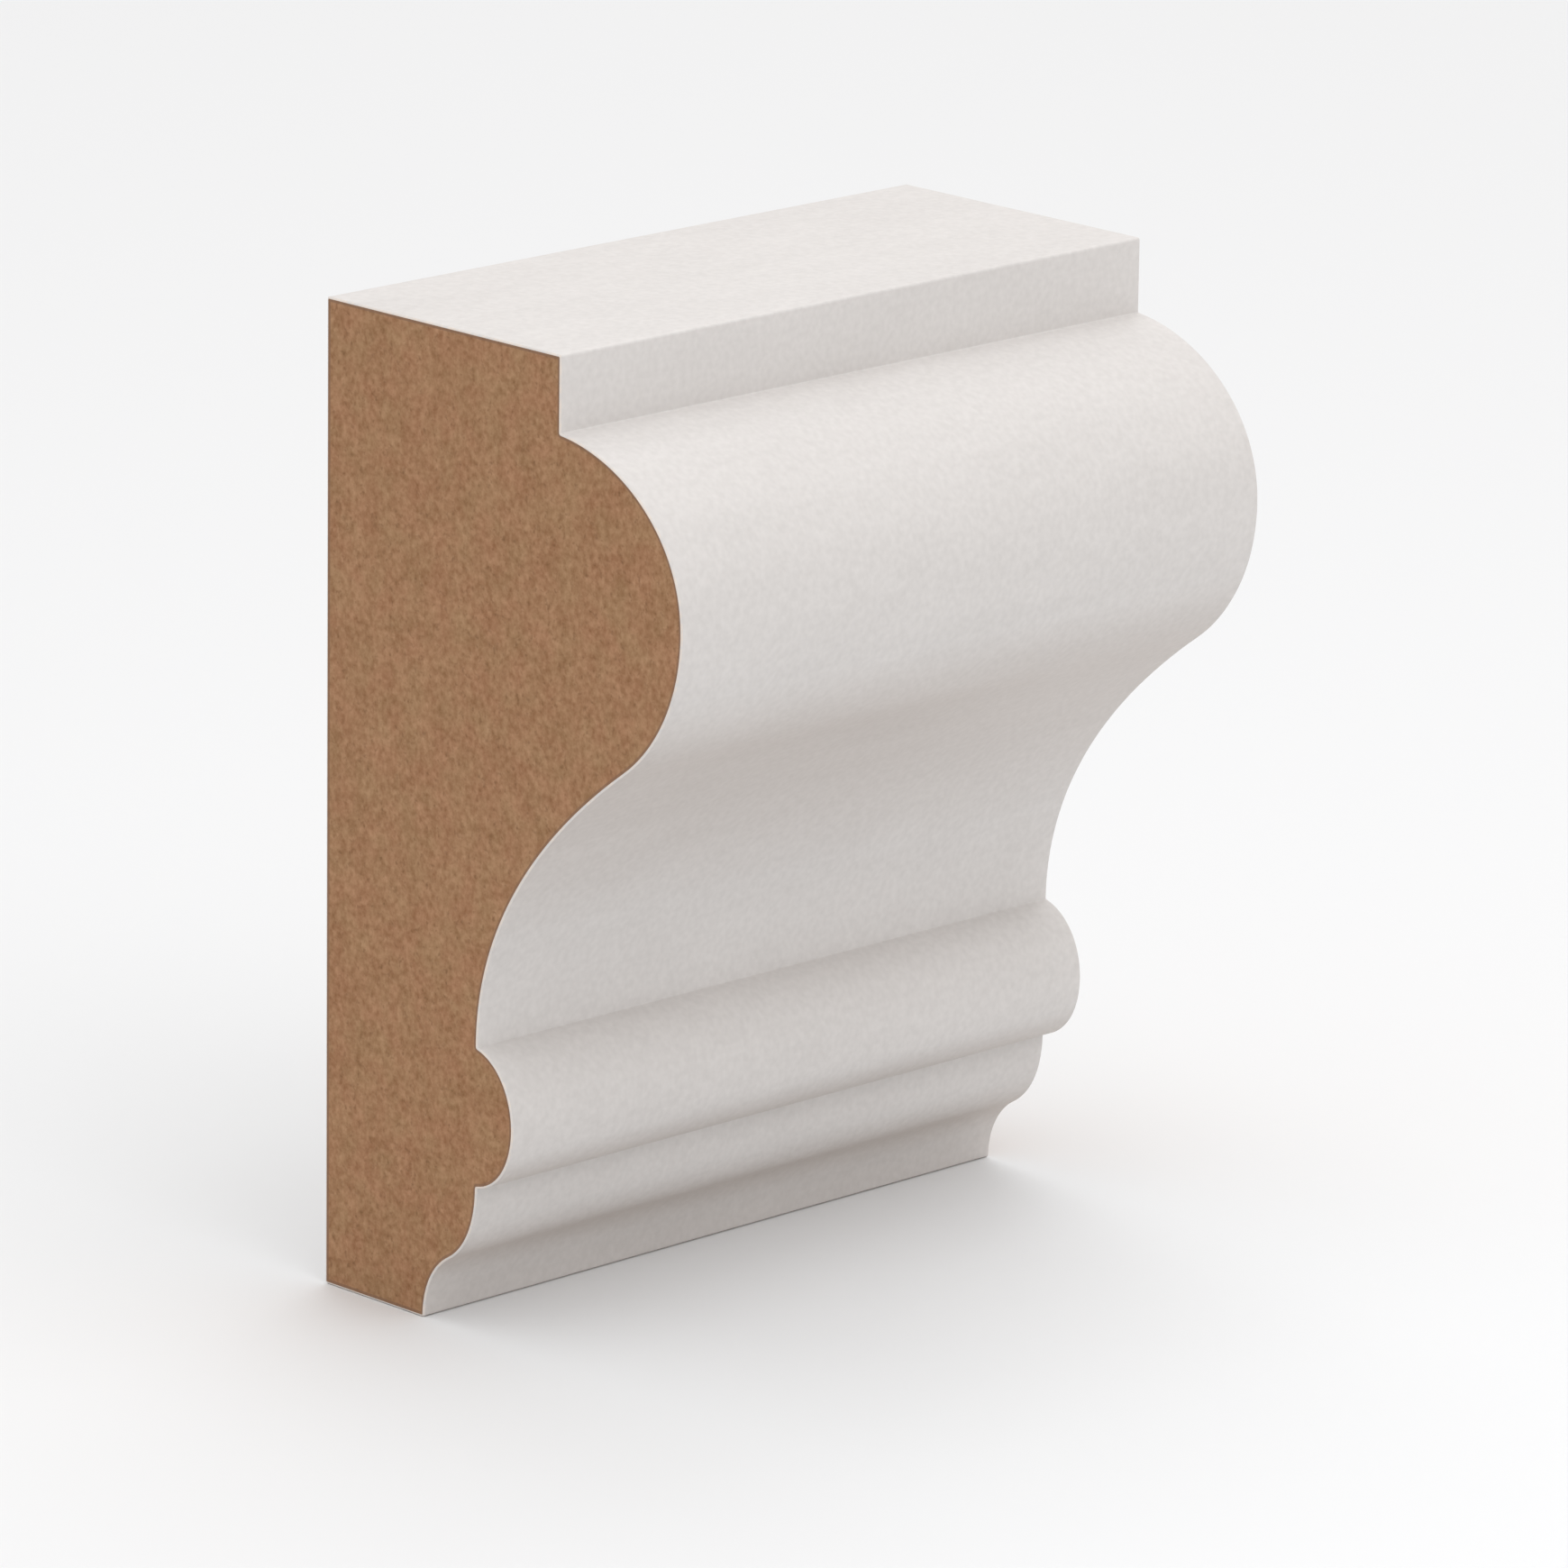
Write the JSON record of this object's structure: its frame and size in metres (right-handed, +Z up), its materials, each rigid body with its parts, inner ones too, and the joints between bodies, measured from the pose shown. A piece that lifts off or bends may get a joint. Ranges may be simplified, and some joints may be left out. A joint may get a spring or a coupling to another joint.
{
  "type": "inlay moulding",
  "caption": "Short length of primed MDF inlay moulding: square top fillet, bold ovolo turning under into a cove, small bead and ogee foot, flat back, square cut ends.",
  "frame": {"origin": "middle of the flat back face: halfway along the length, halfway up the height", "axes": "+X along the moulding, +Y out of the flat back, so the moulded face looks towards -Y, +Z up towards the square top edge"},
  "size_m": [0.0392, 0.025, 0.05],
  "materials": {
    "primed_mdf": "factory primed, satin matt off-white, bare brown fibreboard on the cut ends"
  },
  "bodies": {
    "root": {"inlay_moulding": "primed_mdf"}
  },
  "joints": []
}
